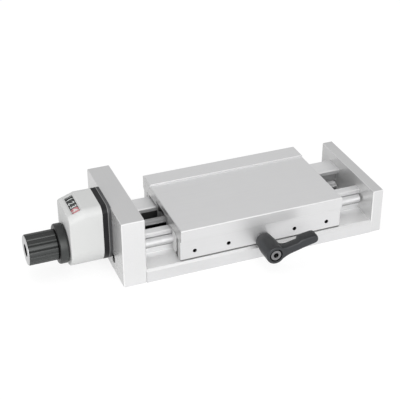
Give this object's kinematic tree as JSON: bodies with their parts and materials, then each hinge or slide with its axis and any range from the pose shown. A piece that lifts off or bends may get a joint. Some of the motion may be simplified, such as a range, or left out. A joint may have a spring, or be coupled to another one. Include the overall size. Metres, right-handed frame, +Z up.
{
  "type": "adjustment slide",
  "caption": "Manual linear slide: carriage on inlaid guide rods, hand-turned lead screw with a number-wheel position indicator, and a clamping lever.",
  "frame": {"origin": "centre of the base's underside, midway between the end plates, with the carriage in the middle of its travel", "axes": "+X along the travel from the knob end to the free end, +Y to the rear (the side away from the clamping lever), +Z up from the underside"},
  "size_m": [0.2517, 0.1019, 0.0514],
  "materials": {
    "anodised": "fine-machined, clear anodised",
    "guide_steel": "ground and polished",
    "spindle_steel": "rolled thread, lightly oiled",
    "screw_black": "black oxide",
    "screw_bright": "zinc plated",
    "bronze": "turned",
    "gib_light": "milled, light grey",
    "nut_grey": "machined, dark grey",
    "nut_black": "felt, black",
    "adapter_grey": "dark grey, matt",
    "cover_black": "moulded, black",
    "housing_grey": "moulded, light grey, fine grain",
    "window_clear": "clear, polished",
    "wheel_black": "moulded, black",
    "wheel_red": "moulded, red",
    "gear_white": "moulded, natural white",
    "knob_plastic": "moulded, charcoal, fine grain",
    "lever_plastic": "moulded, anthracite, fine grain"
  },
  "bodies": {
    "base": {"base_profile": "anodised", "guide_rod_front": "guide_steel", "guide_rod_rear": "guide_steel", "drive_end_plate": "anodised", "free_end_plate": "anodised", "drive_plate_screws": "screw_black", "free_plate_screws": "screw_black", "spindle_bush": "bronze", "bearing_cover": "spindle_steel", "indicator_adapter": "adapter_grey", "adapter_screws": "screw_bright", "indicator_base": "cover_black", "indicator_housing": "housing_grey", "indicator_window": "window_clear", "counter_axle": "guide_steel"},
    "spindle": {"lead_screw": "spindle_steel", "thrust_collar": "spindle_steel", "hollow_shaft": "spindle_steel", "drive_gear": "gear_white", "knob_core": "screw_bright", "knob_grip": "knob_plastic", "knob_collar": "knob_plastic", "knob_set_screw": "screw_black"},
    "transfer": {"transfer_shaft": "gear_white"},
    "tenths": {"number_wheel_tenths": "wheel_red", "counter_gear": "gear_white"},
    "ones": {"number_wheel_ones": "wheel_black"},
    "tens": {"number_wheel_tens": "wheel_black"},
    "hundreds": {"number_wheel_hundreds": "wheel_black"},
    "carriage": {"carriage": "anodised", "front_gib": "gib_light", "rear_liner": "gib_light", "gib_set_screws": "screw_black", "gib_pins": "screw_black", "spindle_nut": "nut_grey", "backlash_nut": "nut_grey", "nut_screws": "screw_bright", "nut_wipers": "nut_black", "clamp_pad": "bronze"},
    "clamp": {"clamp_stud": "screw_bright", "lever_screw": "screw_bright"},
    "lever": {"lever_handle": "lever_plastic"}
  },
  "joints": [
    {"name": "spindle_turn", "type": "hinge", "parent": "base", "child": "spindle", "pos_m": [0, -0.0015, 0.0205], "axis": [1, 0, 0], "range_deg": [-8820, 8820]},
    {"name": "carriage_slide", "type": "slide", "parent": "base", "child": "carriage", "axis": [1, 0, 0], "range_m": [-0.0245, 0.0245]},
    {"name": "transfer_turn", "type": "hinge", "parent": "base", "child": "transfer", "pos_m": [-0.1129, -0.0015, 0.0334], "axis": [0, 1, 0], "range_deg": [-17640, 17640]},
    {"name": "tenths_turn", "type": "hinge", "parent": "base", "child": "tenths", "pos_m": [-0.12098, -0.0015, 0.04068], "axis": [0, 1, 0], "range_deg": [-8820, 8820]},
    {"name": "ones_turn", "type": "hinge", "parent": "base", "child": "ones", "pos_m": [-0.12098, -0.0015, 0.04068], "axis": [0, 1, 0], "range_deg": [-882, 882]},
    {"name": "tens_turn", "type": "hinge", "parent": "base", "child": "tens", "pos_m": [-0.12098, -0.0015, 0.04068], "axis": [0, 1, 0], "range_deg": [-88.2, 88.2]},
    {"name": "hundreds_turn", "type": "hinge", "parent": "base", "child": "hundreds", "pos_m": [-0.12098, -0.0015, 0.04068], "axis": [0, 1, 0], "range_deg": [-8.82, 8.82]},
    {"name": "clamp_turn", "type": "hinge", "parent": "carriage", "child": "clamp", "pos_m": [0, -0.0405, 0.0145], "axis": [0, -1, 0], "range_deg": [0, 120]},
    {"name": "lever_lift", "type": "slide", "parent": "clamp", "child": "lever", "axis": [0, -1, 0], "range_m": [0, 0.0035], "stiffness_N_per_m": 800, "springref_m": -0.003}
  ],
  "couplings": [
    {"joint": "spindle_turn", "follows": "carriage_slide", "rad_per_m": -6283.2},
    {"joint": "transfer_turn", "follows": "carriage_slide", "rad_per_m": 12566},
    {"joint": "tenths_turn", "follows": "carriage_slide", "rad_per_m": -6283.2},
    {"joint": "ones_turn", "follows": "carriage_slide", "rad_per_m": -628.32},
    {"joint": "tens_turn", "follows": "carriage_slide", "rad_per_m": -62.832},
    {"joint": "hundreds_turn", "follows": "carriage_slide", "rad_per_m": -6.2832}
  ]
}
